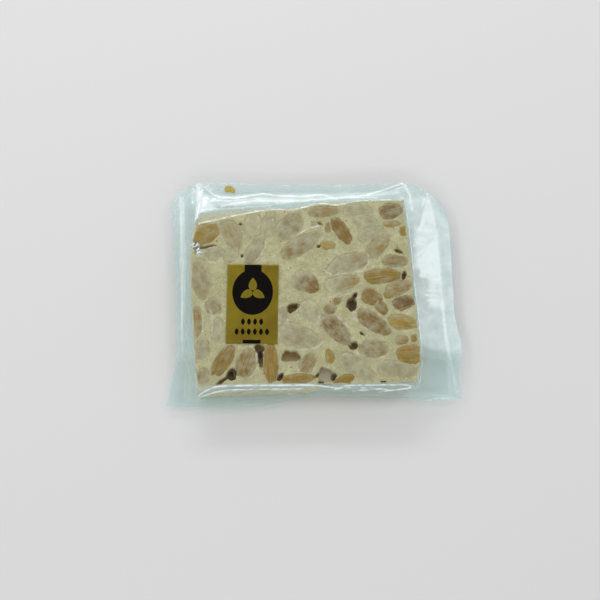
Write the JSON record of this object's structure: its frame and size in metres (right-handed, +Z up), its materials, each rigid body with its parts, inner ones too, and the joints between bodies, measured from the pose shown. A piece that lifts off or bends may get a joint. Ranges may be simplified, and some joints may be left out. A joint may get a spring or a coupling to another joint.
{
  "type": "vacuum-packed almond turron",
  "caption": "Hand-cut slab of hard almond nougat sealed in a clear film pack with flat fins and a small upright gold label, lying on its flat underside.",
  "frame": {"origin": "middle of the pack's footprint, on the surface that it lies on", "axes": "+Z up through the slab's thickness, +X along the pack's longer side, +Y to the pack's back, away from a viewer who sees the label upright"},
  "size_m": [0.1568, 0.1268, 0.018],
  "materials": {
    "nougat": "cream-coloured hard nougat with almonds, under clear film",
    "gold_label": "metallised gold paper, satin, with plain black print",
    "film": "clear vacuum film, glossy, faintly blue",
    "almond": "toasted almonds, some blanched"
  },
  "bodies": {
    "root": {"pack": "nougat", "label": "gold_label"}
  },
  "joints": []
}
